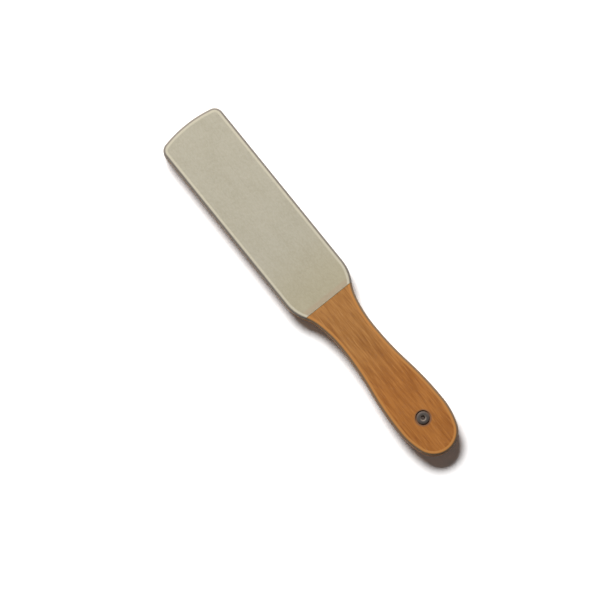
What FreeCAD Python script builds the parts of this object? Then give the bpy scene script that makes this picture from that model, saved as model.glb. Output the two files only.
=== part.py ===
"""A two-sided paddle strop for honing carving knives.

A flat wooden paddle carries a leather face let in flush on each side of its blade. The edges of
wood and leather are rounded over together, and a metal eyelet through the handle hangs it up.

Frame, in millimetres: X runs from the blade's tip to the handle's end, Y across, Z up. The origin
is the middle of the rear face, the face that the paddle lies on.
"""

import FreeCAD, Part
import math
import os

import Sketcher

doc = FreeCAD.newDocument("paddle_strop")

# ---------------------------------------------------------------------------------------------
# Driving dimensions. Each size is set here once, and everything else is worked out from them.
# ---------------------------------------------------------------------------------------------
SIZES = {
    # the paddle seen from above
    "overall_length": 304,
    "blade_width": 52.8,
    "leather_length": 164.8,
    "tip_radius": 95,
    "tip_corner_radius": 7,
    "shoulder_radius": 30.5,
    "flare_radius": 37.5,
    "neck_radius": 95.5,
    "neck_run": 23.5,
    "seam_to_neck": 33.2,
    "neck_width": 29.7,
    "palm_width": 40.9,
    "palm_to_end": 32,
    "end_roundness": 0.88,
    # the paddle seen from the side
    "paddle_thickness": 12,
    "edge_radius": 2,
    "leather_thickness": 2.2,
    "film_thickness": 0.2,
    "seam_gap": 0.1,
    "leather_end_bevel": 0.15,
    # the eyelet and its washer
    "hole_to_end": 30,
    "eyelet_bore_radius": 1.5,
    "eyelet_wall": 0.45,
    "eyelet_fit": 0.1,
    "crown_radius": 2.9,
    "flange_radius": 4.8,
    "flange_height": 1.1,
    "front_seat_depth": 0.8,
    "front_seat_margin": 0.7,
    "rear_seat_depth": 1.6,
    "rear_seat_margin": 0.3,
    "washer_radius": 4.4,
    "washer_thickness": 0.6,
    "rear_bead_radius": 0.8,
    # how far a cutting block stands past the wood that it cuts
    "overcut": 5,
}

sheet = doc.addObject("Spreadsheet::Sheet", "sizes")
for row, (alias, number) in enumerate(SIZES.items(), start=1):
    sheet.set(f"A{row}", alias.replace("_", " "))
    sheet.set(f"B{row}", str(number))
    sheet.setAlias(f"B{row}", alias)
doc.recompute()

# Places and sizes that several pieces share, as expressions on the sheet.
TIP_X = "(-sizes.overall_length / 2)"
END_X = "(sizes.overall_length / 2)"
SEAM_X = f"({TIP_X} + sizes.leather_length)"
NECK_X = f"({SEAM_X} + sizes.seam_to_neck)"
PALM_X = f"({END_X} - sizes.palm_to_end)"
HOLE_X = f"({END_X} - sizes.hole_to_end)"
REBATE_DEPTH = "(sizes.leather_thickness + sizes.film_thickness)"
REBATE_LENGTH = "(sizes.leather_length + sizes.seam_gap)"
TUBE_RADIUS = "(sizes.eyelet_bore_radius + sizes.eyelet_wall)"
BORE_RADIUS = f"({TUBE_RADIUS} + sizes.eyelet_fit)"
FRONT_SEAT_Z = "(sizes.paddle_thickness - sizes.front_seat_depth)"
WASHER_REAR_Z = "(sizes.rear_seat_depth - sizes.washer_thickness)"

# The positions of a point on a sketch's line or arc.
START, END, CENTRE = 1, 2, 3
# The sketch's own origin and X axis, as geometry numbers.
ORIGIN, X_AXIS = -1, -1


def value(expression):
    """What an expression on the sheet comes to."""
    return float(sheet.evalExpression(expression))


# ---------------------------------------------------------------------------------------------
# Bodies, sketches and constraints
# ---------------------------------------------------------------------------------------------
def new_sketch(body, name, plane):
    """A sketch on one of its body's own origin planes."""
    sketch = body.newObject("Sketcher::SketchObject", name)
    origin_plane = next(f for f in body.Origin.OriginFeatures if f.Role == plane)
    sketch.AttachmentSupport = [(origin_plane, "")]
    sketch.MapMode = "FlatFace"
    return sketch


def constrain(sketch, kind, *where):
    """A constraint without a size, such as a tangent or a coincident pair of points."""
    sketch.addConstraint(Sketcher.Constraint(kind, *where))


def dimension(sketch, kind, *where, expression):
    """A constraint whose size follows an expression on the sheet."""
    index = sketch.addConstraint(Sketcher.Constraint(kind, *where, value(expression)))
    sketch.setExpression(f"Constraints[{index}]", expression)


def arc(x, y, radius, start, end):
    """An arc of a circle, anticlockwise between two angles in radians."""
    circle = Part.Circle(FreeCAD.Vector(x, y, 0), FreeCAD.Vector(0, 0, 1), radius)
    return Part.ArcOfCircle(circle, start, end)


def line(x1, y1, x2, y2):
    return Part.LineSegment(FreeCAD.Vector(x1, y1, 0), FreeCAD.Vector(x2, y2, 0))


def arc_between(start, end, radius):
    """The shorter arc from start to end, bulging to the right of that direction if radius > 0."""
    across = end.sub(start)
    left = FreeCAD.Vector(-across.y, across.x, 0).normalize()
    rise = math.sqrt(radius**2 - (across.Length / 2) ** 2)
    centre = start.add(end).multiply(0.5).add(left.multiply(math.copysign(rise, radius)))
    first, last = (start, end) if radius > 0 else (end, start)
    angles = [math.atan2(p.y - centre.y, p.x - centre.x) for p in (first, last)]
    return arc(centre.x, centre.y, abs(radius), *angles)


def draw_profile(sketch, corners):
    """A closed outline through corners, each (x, y, bulge).

    x and y are expressions. bulge is None where a straight line leaves the corner, or an
    expression for the radius of the arc that leaves it, as arc_between takes it.
    """
    points = [FreeCAD.Vector(value(x), value(y), 0) for x, y, bulge in corners]
    ends = []
    for number, (x, y, bulge) in enumerate(corners):
        here, there = points[number], points[(number + 1) % len(points)]
        if bulge is None:
            geo = sketch.addGeometry(Part.LineSegment(here, there))
        else:
            geo = sketch.addGeometry(arc_between(here, there, value(bulge)))
            dimension(sketch, "Radius", geo, expression=f"abs({bulge})")
        backwards = bulge is not None and value(bulge) < 0
        ends.append((geo, END, START) if backwards else (geo, START, END))
        dimension(sketch, "DistanceX", ORIGIN, START, *ends[-1][:2], expression=x)
        dimension(sketch, "DistanceY", ORIGIN, START, *ends[-1][:2], expression=y)
    for (geo, first, last), (next_geo, next_first, _) in zip(ends, ends[1:] + ends[:1]):
        constrain(sketch, "Coincident", geo, last, next_geo, next_first)


# ---------------------------------------------------------------------------------------------
# The paddle's outline: half of it, from the tip round to the handle's end, on the X axis
# ---------------------------------------------------------------------------------------------
def draw_half_outline(sketch):
    """Tangent arcs and one straight side, drawn above the X axis and closed along it."""
    tip, end = value(TIP_X), value(END_X)
    half_blade = value("sizes.blade_width / 2")
    half_neck = value("sizes.neck_width / 2")
    half_palm = value("sizes.palm_width / 2")
    tip_r, corner_r = value("sizes.tip_radius"), value("sizes.tip_corner_radius")
    shoulder_r, flare_r = value("sizes.shoulder_radius"), value("sizes.flare_radius")
    neck_r, neck_x, palm_x = value("sizes.neck_radius"), value(NECK_X), value(PALM_X)
    end_r = value("sizes.end_roundness") * half_palm

    # the corner's centre lies inside the tip's arc
    corner_y = half_blade - corner_r
    corner_x = tip + tip_r - math.sqrt((tip_r - corner_r) ** 2 - corner_y**2)
    corner_turn = math.atan2(corner_y, corner_x - tip - tip_r)

    # the flare's centre lies on the line from the neck's centre to where the two arcs meet
    neck_turn = math.asin(value("sizes.neck_run") / neck_r)
    flare_x = neck_x - (neck_r - flare_r) * math.sin(neck_turn)
    flare_y = half_neck + neck_r - (neck_r - flare_r) * math.cos(neck_turn)
    shoulder_y = half_blade - shoulder_r
    reach = shoulder_r + flare_r
    shoulder_x = flare_x - math.sqrt(reach**2 - (flare_y - shoulder_y) ** 2)
    shoulder_turn = math.atan2(flare_y - shoulder_y, flare_x - shoulder_x)

    # the handle's hollow and swell are equal arcs that meet halfway
    run, rise = palm_x - neck_x, half_palm - half_neck
    swell_r = (run**2 + rise**2) / (4 * rise)
    swell_turn = math.asin(run / 2 / swell_r)

    # the palm's arc turns into the round end
    end_run = end - end_r - palm_x
    palm_r = (end_run**2 + half_palm**2 - end_r**2) / (2 * (half_palm - end_r))
    palm_turn = math.atan2(palm_r - half_palm, end_run)

    up, down, left = math.pi / 2, 3 * math.pi / 2, math.pi
    shapes = {
        "tip": arc(tip + tip_r, 0, tip_r, corner_turn, left),
        "corner": arc(corner_x, corner_y, corner_r, up, corner_turn),
        "side": line(corner_x, half_blade, shoulder_x, half_blade),
        "shoulder": arc(shoulder_x, shoulder_y, shoulder_r, shoulder_turn, up),
        "flare": arc(flare_x, flare_y, flare_r, left + shoulder_turn, down - neck_turn),
        "neck": arc(neck_x, half_neck + neck_r, neck_r, down - neck_turn, down),
        "hollow": arc(neck_x, half_neck + swell_r, swell_r, down, down + swell_turn),
        "swell": arc(palm_x, half_palm - swell_r, swell_r, up, up + swell_turn),
        "palm": arc(palm_x, half_palm - palm_r, palm_r, palm_turn, up),
        "end": arc(end - end_r, 0, end_r, 0, palm_turn),
        "axis": line(end, 0, tip, 0),
    }
    geo = {name: sketch.addGeometry(shape) for name, shape in shapes.items()}

    for first, first_point, second, second_point in (
        ("tip", START, "corner", END),
        ("corner", START, "side", START),
        ("side", END, "shoulder", END),
        ("shoulder", START, "flare", START),
        ("flare", END, "neck", START),
        ("neck", END, "hollow", START),
        ("hollow", END, "swell", END),
        ("swell", START, "palm", END),
        ("palm", START, "end", END),
    ):
        constrain(sketch, "Tangent", geo[first], first_point, geo[second], second_point)
    constrain(sketch, "Coincident", geo["end"], START, geo["axis"], START)
    constrain(sketch, "Coincident", geo["axis"], END, geo["tip"], END)
    for name, point in (("axis", START), ("axis", END), ("tip", CENTRE), ("end", CENTRE)):
        constrain(sketch, "PointOnObject", geo[name], point, X_AXIS)
    constrain(sketch, "Horizontal", geo["side"])
    constrain(sketch, "Vertical", geo["neck"], CENTRE, geo["neck"], END)
    constrain(sketch, "Vertical", geo["palm"], CENTRE, geo["palm"], END)
    constrain(sketch, "Equal", geo["hollow"], geo["swell"])

    for name, expression in (
        ("tip", "sizes.tip_radius"),
        ("corner", "sizes.tip_corner_radius"),
        ("shoulder", "sizes.shoulder_radius"),
        ("flare", "sizes.flare_radius"),
        ("neck", "sizes.neck_radius"),
        ("end", "sizes.end_roundness * sizes.palm_width / 2"),
    ):
        dimension(sketch, "Radius", geo[name], expression=expression)
    for name, point, kind, expression in (
        ("axis", END, "DistanceX", TIP_X),
        ("axis", START, "DistanceX", END_X),
        ("side", END, "DistanceY", "sizes.blade_width / 2"),
        ("neck", END, "DistanceX", NECK_X),
        ("neck", END, "DistanceY", "sizes.neck_width / 2"),
        ("neck", START, "DistanceX", f"{NECK_X} - sizes.neck_run"),
        ("palm", END, "DistanceX", PALM_X),
        ("palm", END, "DistanceY", "sizes.palm_width / 2"),
    ):
        dimension(sketch, kind, ORIGIN, START, geo[name], point, expression=expression)


def rim_edges(shape, heights):
    """The names of the edges that lie flat at one of these heights."""
    names = []
    for number, edge in enumerate(shape.Edges, start=1):
        box = edge.BoundBox
        level = any(abs(box.ZMin - z) < 1e-4 and abs(box.ZMax - z) < 1e-4 for z in heights)
        if level:
            names.append(f"Edge{number}")
    return names


def make_blank():
    """The whole paddle as one thick block, rounded over all the way round on both faces.

    Wood, adhesive and leather are all cut from it, so that their edges run on in one line.
    """
    body = doc.addObject("PartDesign::Body", "paddle_blank")
    sketch = new_sketch(body, "half_outline", "XY_Plane")
    draw_half_outline(sketch)
    pad = body.newObject("PartDesign::Pad", "half_board")
    pad.Profile = sketch
    pad.setExpression("Length", "sizes.paddle_thickness")
    doc.recompute()
    mirror = body.newObject("PartDesign::Mirrored", "whole_board")
    mirror.Originals = [pad]
    mirror.MirrorPlane = (sketch, ["H_Axis"])
    body.Tip = mirror
    doc.recompute()
    fillet = body.newObject("PartDesign::Fillet", "rounded_edges")
    faces = (0, value("sizes.paddle_thickness"))
    fillet.Base = (mirror, rim_edges(mirror.Shape, faces))
    fillet.setExpression("Radius", "sizes.edge_radius")
    doc.recompute()
    return body


# ---------------------------------------------------------------------------------------------
# Cutting blocks
# ---------------------------------------------------------------------------------------------
def blade_block(name, length, low, high):
    """A box over the whole blade, from past the tip, with its heights as expressions."""
    box = doc.addObject("Part::Box", name)
    box.setExpression("Length", f"{length} + sizes.overcut")
    box.setExpression("Width", "sizes.blade_width + 2 * sizes.overcut")
    box.setExpression("Height", f"({high}) - ({low})")
    box.setExpression("Placement.Base.x", f"{TIP_X} - sizes.overcut")
    box.setExpression("Placement.Base.y", "-sizes.blade_width / 2 - sizes.overcut")
    box.setExpression("Placement.Base.z", low)
    return box


def hole_block(name, radius, low, high):
    """A cylinder on the eyelet's axis, with its radius and heights as expressions."""
    cylinder = doc.addObject("Part::Cylinder", name)
    cylinder.setExpression("Radius", radius)
    cylinder.setExpression("Height", f"({high}) - ({low})")
    cylinder.setExpression("Placement.Base.x", HOLE_X)
    cylinder.setExpression("Placement.Base.z", low)
    return cylinder


def combine(kind, name, base, tool):
    """A Part::Cut or Part::Common of two objects."""
    result = doc.addObject(kind, name)
    result.Base = base
    result.Tool = tool
    return result


# ---------------------------------------------------------------------------------------------
# The wooden paddle
# ---------------------------------------------------------------------------------------------
def make_core(blank):
    """Blade core and handle in one piece of wood, rebated for the leather and bored."""
    above = "sizes.paddle_thickness + sizes.overcut"
    below = "-sizes.overcut"
    cutters = doc.addObject("Part::MultiFuse", "core_cutters")
    cutters.Shapes = [
        blade_block(
            "front_rebate", REBATE_LENGTH, f"sizes.paddle_thickness - {REBATE_DEPTH}", above
        ),
        blade_block("rear_rebate", REBATE_LENGTH, below, REBATE_DEPTH),
        hole_block("eyelet_bore", BORE_RADIUS, below, above),
        hole_block(
            "front_seat", "sizes.flange_radius + sizes.front_seat_margin", FRONT_SEAT_Z, above
        ),
        hole_block(
            "rear_seat",
            "sizes.washer_radius + sizes.rear_seat_margin",
            below,
            "sizes.rear_seat_depth",
        ),
    ]
    return combine("Part::Cut", "paddle_core", blank, cutters)


# ---------------------------------------------------------------------------------------------
# The leather faces and the adhesive under them
# ---------------------------------------------------------------------------------------------
def make_leather(name, blank, face, inwards):
    """One leather face. face is the outer face's height, inwards is -1 or 1 towards the wood.

    Its end at the handle is cut square, with a bevel on the outer corner.
    """
    body = doc.addObject("PartDesign::Body", f"{name}_strip")
    sketch = new_sketch(body, f"{name}_side", "XZ_Plane")
    flesh = f"{face} + {inwards} * sizes.leather_thickness"
    bevel = "sizes.leather_end_bevel"
    outside = f"{face} - {inwards} * sizes.overcut"
    corners = [
        (f"{TIP_X} - sizes.overcut", flesh, None),
        (SEAM_X, flesh, None),
        (SEAM_X, f"{face} + {inwards} * {bevel}", None),
        (f"{SEAM_X} - {bevel} - sizes.overcut", outside, None),
        (f"{TIP_X} - sizes.overcut", outside, None),
    ]
    draw_profile(sketch, corners)
    pad = body.newObject("PartDesign::Pad", f"{name}_width")
    pad.Profile = sketch
    pad.setExpression("Length", "sizes.blade_width + 2 * sizes.overcut")
    pad.Midplane = True
    return combine("Part::Common", name, blank, body)


def make_film(name, blank, low, high):
    """The thin layer of contact adhesive between a leather face and the wood."""
    layer = blade_block(f"{name}_layer", "sizes.leather_length", low, high)
    return combine("Part::Common", name, blank, layer)


# ---------------------------------------------------------------------------------------------
# The eyelet and its washer
# ---------------------------------------------------------------------------------------------
def make_turned(name, corners):
    """A ring turned about the eyelet's axis from half a cross-section."""
    body = doc.addObject("PartDesign::Body", name)
    sketch = new_sketch(body, f"{name}_section", "XZ_Plane")
    draw_profile(sketch, corners)
    turn = body.newObject("PartDesign::Revolution", f"{name}_turn")
    turn.Profile = sketch
    turn.ReferenceAxis = (sketch, ["V_Axis"])
    turn.Angle = 360
    body.setExpression("Placement.Base.x", HOLE_X)
    return body


def make_eyelet():
    """Pressed metal of one wall thickness: domed flange, tube, and a bead rolled at the rear."""
    bore = "sizes.eyelet_bore_radius"
    crown = "sizes.crown_radius"
    crown_z = f"({FRONT_SEAT_Z} + sizes.flange_height)"
    lip_roll = f"({crown} - {bore})"
    lip_z = f"({crown_z} - {lip_roll})"
    flange_run = f"(sizes.flange_radius - {crown})"
    dome = f"(({flange_run}^2 + sizes.flange_height^2) / (2 * sizes.flange_height))"
    dome_inside = f"({dome} - sizes.eyelet_wall)"
    dome_foot = f"{crown} + sqrt({dome_inside}^2 - ({dome} - sizes.flange_height)^2)"
    bead = "sizes.rear_bead_radius"
    corners = [
        (bore, lip_z, None),
        (bore, WASHER_REAR_Z, bead),
        (f"{bore} + {bead}", f"{WASHER_REAR_Z} - {bead}", bead),
        (f"{bore} + 2 * {bead}", WASHER_REAR_Z, None),
        (TUBE_RADIUS, WASHER_REAR_Z, None),
        (TUBE_RADIUS, lip_z, f"-({lip_roll} - sizes.eyelet_wall)"),
        (crown, f"{crown_z} - sizes.eyelet_wall", f"-{dome_inside}"),
        (dome_foot, FRONT_SEAT_Z, None),
        ("sizes.flange_radius", FRONT_SEAT_Z, dome),
        (crown, crown_z, lip_roll),
    ]
    return make_turned("hanging_eyelet", corners)


def make_washer():
    """The flat ring under the rolled bead, sunk in the rear of the handle."""
    corners = [
        (BORE_RADIUS, WASHER_REAR_Z, None),
        ("sizes.washer_radius", WASHER_REAR_Z, None),
        ("sizes.washer_radius", "sizes.rear_seat_depth", None),
        (BORE_RADIUS, "sizes.rear_seat_depth", None),
    ]
    return make_turned("eyelet_washer", corners)


# ---------------------------------------------------------------------------------------------
# The whole strop
# ---------------------------------------------------------------------------------------------
paddle_blank = make_blank()
under_front = f"sizes.paddle_thickness - {REBATE_DEPTH}"
over_front = "sizes.paddle_thickness - sizes.leather_thickness"
pieces = [
    make_core(paddle_blank),
    make_leather("front_leather", paddle_blank, "sizes.paddle_thickness", -1),
    make_leather("rear_leather", paddle_blank, "0", 1),
    make_film("front_adhesive_film", paddle_blank, under_front, over_front),
    make_film("rear_adhesive_film", paddle_blank, "sizes.leather_thickness", REBATE_DEPTH),
    make_eyelet(),
    make_washer(),
]
doc.recompute()

for item in doc.Objects:
    if "Invalid" in item.State or "Error" in item.State:
        raise RuntimeError(f"{item.Label} failed: {item.State}")
    if item.isDerivedFrom("Sketcher::SketchObject") and not item.FullyConstrained:
        raise RuntimeError(f"{item.Label} isn't fully constrained")
for piece in pieces:
    shape = piece.Shape
    if shape.isNull() or not shape.isValid() or len(shape.Solids) != 1:
        raise RuntimeError(f"{piece.Label} isn't one valid solid")

os.makedirs("parts", exist_ok=True)
for piece in pieces:
    piece.Shape.exportStep(f"parts/{piece.Label}.step")
    box = piece.Shape.BoundBox
    print(
        f"{piece.Label}: {piece.Shape.Volume:.1f} mm3, x {box.XMin:.2f} to {box.XMax:.2f}, "
        f"y {box.YMin:.2f} to {box.YMax:.2f}, z {box.ZMin:.2f} to {box.ZMax:.2f}"
    )
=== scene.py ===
# %% [markdown]
# # A two-sided paddle strop
#
# A strop is the last stop for a carving knife after the stones: leather on a flat paddle, rubbed
# with a fine compound. This one is a single board of warm brown wood, a leather face let in flush
# on each side of the blade, and a metal eyelet in the handle to hang it by.
#
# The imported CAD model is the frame. It says where each piece goes and how big it is, and this
# lesson makes the looks around it: outline first, then wood, leather, glue line, metal and nap,
# then the finishes, and last the floor, the lamp and the camera.

# %% Load the frame
import math

import bmesh
import bpy
import numpy as np
from mathutils import Matrix, Vector


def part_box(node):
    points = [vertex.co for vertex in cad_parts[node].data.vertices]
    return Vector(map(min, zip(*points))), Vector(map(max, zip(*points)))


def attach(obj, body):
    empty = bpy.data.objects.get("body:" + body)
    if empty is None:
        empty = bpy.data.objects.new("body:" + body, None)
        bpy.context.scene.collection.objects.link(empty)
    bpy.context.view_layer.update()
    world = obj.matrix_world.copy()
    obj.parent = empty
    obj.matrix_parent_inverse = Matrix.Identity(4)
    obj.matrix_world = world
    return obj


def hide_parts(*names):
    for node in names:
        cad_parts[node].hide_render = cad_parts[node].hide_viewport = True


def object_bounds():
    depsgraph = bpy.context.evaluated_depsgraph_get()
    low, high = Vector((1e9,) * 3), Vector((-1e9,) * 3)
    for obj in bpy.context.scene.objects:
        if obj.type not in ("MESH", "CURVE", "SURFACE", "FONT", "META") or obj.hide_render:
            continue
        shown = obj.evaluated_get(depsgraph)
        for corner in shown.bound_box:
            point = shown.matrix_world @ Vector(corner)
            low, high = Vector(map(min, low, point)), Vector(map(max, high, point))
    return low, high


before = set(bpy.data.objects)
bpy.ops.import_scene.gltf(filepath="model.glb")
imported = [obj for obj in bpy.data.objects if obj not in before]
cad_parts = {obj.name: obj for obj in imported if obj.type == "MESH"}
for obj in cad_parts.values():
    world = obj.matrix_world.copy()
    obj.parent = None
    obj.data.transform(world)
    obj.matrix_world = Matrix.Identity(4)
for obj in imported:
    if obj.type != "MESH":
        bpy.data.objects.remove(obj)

cad_low, cad_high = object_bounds()
print("CAD box, mm:", [round(v * 1000, 2) for v in (*cad_low, *cad_high)])

# %% [markdown]
# ## Sizes
#
# Blender works in metres, and a bench works in millimetres, so every size below is a number of
# millimetres times `MM`. What the frame already knows is read from it. The radii of the outline
# can't be read off a box, so they are named here, the same ones that the board was designed with.

# %% Sizes from the frame
MM = 0.001
board_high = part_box("paddle_core")[1]
leather_low, leather_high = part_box("front_leather")
eyelet_low, eyelet_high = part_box("hanging_eyelet")
washer_low, washer_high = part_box("eyelet_washer")

END_X = board_high.x
TIP_X = -END_X
SEAM_X = leather_high.x
BOARD_THICK = board_high.z
LEATHER_THICK = leather_high.z - leather_low.z
GLUE_THICK = leather_low.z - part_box("front_adhesive_film")[0].z
HALF_BLADE = board_high.y
HOLE_X = (eyelet_low.x + eyelet_high.x) / 2
print(f"blade {HALF_BLADE * 2000:.1f} mm wide, leather {(SEAM_X - TIP_X) * 1000:.1f} mm long")

# %% Sizes of the outline
TIP_RADIUS, CORNER_RADIUS = 95 * MM, 7 * MM
SHOULDER_RADIUS, FLARE_RADIUS, NECK_RADIUS = 30.5 * MM, 37.5 * MM, 95.5 * MM
NECK_RUN, SEAM_TO_NECK = 23.5 * MM, 33.2 * MM
HALF_NECK, HALF_PALM = 14.85 * MM, 20.45 * MM
PALM_TO_END = 32 * MM
END_ROUNDNESS = 0.88
EDGE_RADIUS = 2 * MM

# %% [markdown]
# ## The outline
#
# A paddle like this is sawn to a pattern, and a pattern is drawn with a compass: arcs that run
# into each other without a corner. Each arc here is a centre, a radius and two angles. Drawing it
# as arcs, not as one wavy curve, has a reward: to get the line that runs 2 mm inside the edge,
# each round-nosed arc loses 2 mm of radius and each hollow one gains 2 mm, and every point stays
# level with its neighbour on the outline. The rounded edge is then just a stack of such lines.


# %% Arcs of half the outline, from the tip to the handle's end
def half_outline_arcs():
    """[(centre x, centre y, radius, first angle, last angle, +1 if the wood is inside the arc)]"""
    corner_y = HALF_BLADE - CORNER_RADIUS
    corner_x = TIP_X + TIP_RADIUS - math.sqrt((TIP_RADIUS - CORNER_RADIUS) ** 2 - corner_y**2)
    corner_turn = math.atan2(corner_y, corner_x - TIP_X - TIP_RADIUS)

    neck_x = SEAM_X + SEAM_TO_NECK
    neck_turn = math.asin(NECK_RUN / NECK_RADIUS)
    flare_x = neck_x - (NECK_RADIUS - FLARE_RADIUS) * math.sin(neck_turn)
    flare_y = HALF_NECK + NECK_RADIUS - (NECK_RADIUS - FLARE_RADIUS) * math.cos(neck_turn)
    shoulder_y = HALF_BLADE - SHOULDER_RADIUS
    reach = SHOULDER_RADIUS + FLARE_RADIUS
    shoulder_x = flare_x - math.sqrt(reach**2 - (flare_y - shoulder_y) ** 2)
    shoulder_turn = math.atan2(flare_y - shoulder_y, flare_x - shoulder_x)

    palm_x = END_X - PALM_TO_END
    run, rise = palm_x - neck_x, HALF_PALM - HALF_NECK
    bend = (run**2 + rise**2) / (4 * rise)
    bend_turn = math.asin(run / 2 / bend)

    end_radius = END_ROUNDNESS * HALF_PALM
    end_run = END_X - end_radius - palm_x
    palm = (end_run**2 + HALF_PALM**2 - end_radius**2) / (2 * (HALF_PALM - end_radius))
    palm_turn = math.atan2(palm - HALF_PALM, end_run)

    up, down, left = math.pi / 2, 3 * math.pi / 2, math.pi
    return [
        (TIP_X + TIP_RADIUS, 0, TIP_RADIUS, left, corner_turn, 1),
        (corner_x, corner_y, CORNER_RADIUS, corner_turn, up, 1),
        (shoulder_x, shoulder_y, SHOULDER_RADIUS, up, shoulder_turn, 1),
        (flare_x, flare_y, FLARE_RADIUS, left + shoulder_turn, down - neck_turn, -1),
        (neck_x, HALF_NECK + NECK_RADIUS, NECK_RADIUS, down - neck_turn, down, -1),
        (neck_x, HALF_NECK + bend, bend, down, down + bend_turn, -1),
        (palm_x, HALF_PALM - bend, bend, up + bend_turn, up, 1),
        (palm_x, HALF_PALM - palm, palm, up, palm_turn, 1),
        (END_X - end_radius, 0, end_radius, palm_turn, 0, 1),
    ]


# %% Points along the outline, at any distance inside the edge
POINT_STEP = 0.8 * MM
FEWEST_STEPS = 4
TIP_ARC, CORNER_ARC, SHOULDER_ARC = 0, 1, 2
ARCS = half_outline_arcs()


def arc_steps(one_arc):
    """How many steps of about POINT_STEP one arc of the outline is drawn in."""
    _, _, radius, first, last, _ = one_arc
    return max(FEWEST_STEPS, math.ceil(abs(last - first) * radius / POINT_STEP))


def half_outline(inset=0.0):
    """Points of the upper half, tip to end. Every inset has the same number of them."""
    runs = []
    for one_arc in ARCS:
        centre_x, centre_y, radius, first, last, inside = one_arc
        turn = np.linspace(first, last, arc_steps(one_arc) + 1)
        reach = radius - inside * inset
        runs.append(np.column_stack([centre_x + reach * np.cos(turn),
                                     centre_y + reach * np.sin(turn)]))
    side_length = ARCS[SHOULDER_ARC][0] - ARCS[CORNER_ARC][0]
    side = np.linspace(runs[CORNER_ARC][-1], runs[SHOULDER_ARC][0],
                       round(side_length / POINT_STEP) + 1)
    runs.insert(SHOULDER_ARC, side)
    return np.concatenate([runs[0]] + [run[1:] for run in runs[1:]])


def distance_to_outline(points):
    """How far each (x, y) lies from the outline, whichever side of the paddle it is on."""
    line = half_outline()
    start, along = line[:-1], np.diff(line, axis=0)
    folded = np.column_stack([points[:, 0], np.abs(points[:, 1])])
    nearest = np.full(len(folded), np.inf)
    for first, step in zip(start, along):
        share = np.clip((folded - first) @ step / (step @ step), 0, 1)
        nearest = np.minimum(nearest, np.linalg.norm(folded - first - share[:, None] * step, axis=1))
    return nearest


CLEAR_OF_HOLE, ROUNDING_ERROR = 8 * MM, 0.01 * MM


def check_outline():
    """How far the CAD board's upright walls lie from this outline, in millimetres."""
    walls = np.array([v.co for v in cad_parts["paddle_core"].data.vertices])
    half_wall = BOARD_THICK / 2 - EDGE_RADIUS + ROUNDING_ERROR
    upright = np.abs(walls[:, 2] - BOARD_THICK / 2) < half_wall
    outer = upright & (walls[:, 0] > SEAM_X + MM) & (abs(walls[:, 0] - HOLE_X) > CLEAR_OF_HOLE)
    return distance_to_outline(walls[outer, :2]).max() / MM


print(f"{len(half_outline())} points on half the outline, {check_outline():.3f} mm off the CAD")


# %% [markdown]
# ## From points to a mesh
#
# Most pieces here are skins: rows of points with faces between them. What needs care is which way
# the faces look, so the maker below lets Blender turn them all outwards, then marks as sharp only
# the edges where two faces meet at a real corner. Smooth shading then keeps an arris crisp.

# %% Making a closed mesh
SHARP_CORNER = math.radians(32)


def finish_mesh(mesh):
    """Turns the faces outwards and shades them smooth, with true corners left sharp."""
    work = bmesh.new()
    work.from_mesh(mesh)
    bmesh.ops.recalc_face_normals(work, faces=work.faces)
    if work.calc_volume(signed=True) < 0:
        bmesh.ops.reverse_faces(work, faces=work.faces)
    for face in work.faces:
        face.smooth = True
    for edge in work.edges:
        edge.smooth = len(edge.link_faces) == 2 and edge.calc_face_angle(0) < SHARP_CORNER
    work.to_mesh(mesh)
    work.free()


def add_object(name, data):
    """An object at the origin, put in the scene, that holds a mesh, a lamp or a lens."""
    thing = bpy.data.objects.new(name, data)
    bpy.context.scene.collection.objects.link(thing)
    return thing


def new_piece(name, points, faces):
    """An object at the origin whose mesh holds its place."""
    mesh = bpy.data.meshes.new(name)
    mesh.from_pydata([tuple(p) for p in points], [], faces)
    mesh.validate()
    finish_mesh(mesh)
    return add_object(name, mesh)


def report(piece):
    """Prints what a finished piece measures."""
    work = bmesh.new()
    work.from_mesh(piece.data)
    open_edges = sum(1 for edge in work.edges if len(edge.link_faces) != 2)
    triangles = sum(len(face.verts) - 2 for face in work.faces)
    volume = work.calc_volume(signed=True) / MM**3
    work.free()
    print(f"{piece.name}: {triangles} triangles, {open_edges} open edges, {volume:.1f} mm3")


def ring_faces(first, second):
    """Four-sided faces between two closed rings of point numbers."""
    return np.column_stack([first, np.roll(first, -1), np.roll(second, -1), second]).tolist()


def number_rings(rings):
    """The point numbers of each ring in a stack of equal rings."""
    count = len(rings[0])
    return [np.arange(count) + level * count for level in range(len(rings))]


def wall_faces(numbers):
    """The faces from each ring of point numbers to the next."""
    return [face for lower, upper in zip(numbers, numbers[1:]) for face in ring_faces(lower, upper)]


def stack_piece(name, rings, joined=False):
    """A piece from equal rings of points: capped at both ends, or joined into a loop."""
    numbers = number_rings(rings)
    if joined:
        faces = wall_faces(numbers + numbers[:1])
    else:
        faces = [numbers[0].tolist(), numbers[-1].tolist()] + wall_faces(numbers)
    return new_piece(name, np.concatenate(rings), faces)


# %% [markdown]
# ## Small unevenness
#
# Nothing that comes from an animal or a tree is dead flat, and light finds it out. A few sine
# waves that cross at odd angles make a soft swell without any texture file. The seed is fixed, so
# the swell is the same on each run.


# %% A soft swell over the surface
def swell(x, y, shortest, longest, seed, waves=24):
    """A smooth height between about -1 and 1, with ripples from shortest to longest long."""
    chance = np.random.default_rng(seed)
    height = np.zeros_like(x)
    for _ in range(waves):
        length = longest * (shortest / longest) ** chance.random()
        angle, phase = chance.random(2) * 2 * math.pi
        height += np.sin((x * math.cos(angle) + y * math.sin(angle)) * 2 * math.pi / length + phase)
    return height / math.sqrt(waves)


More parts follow.
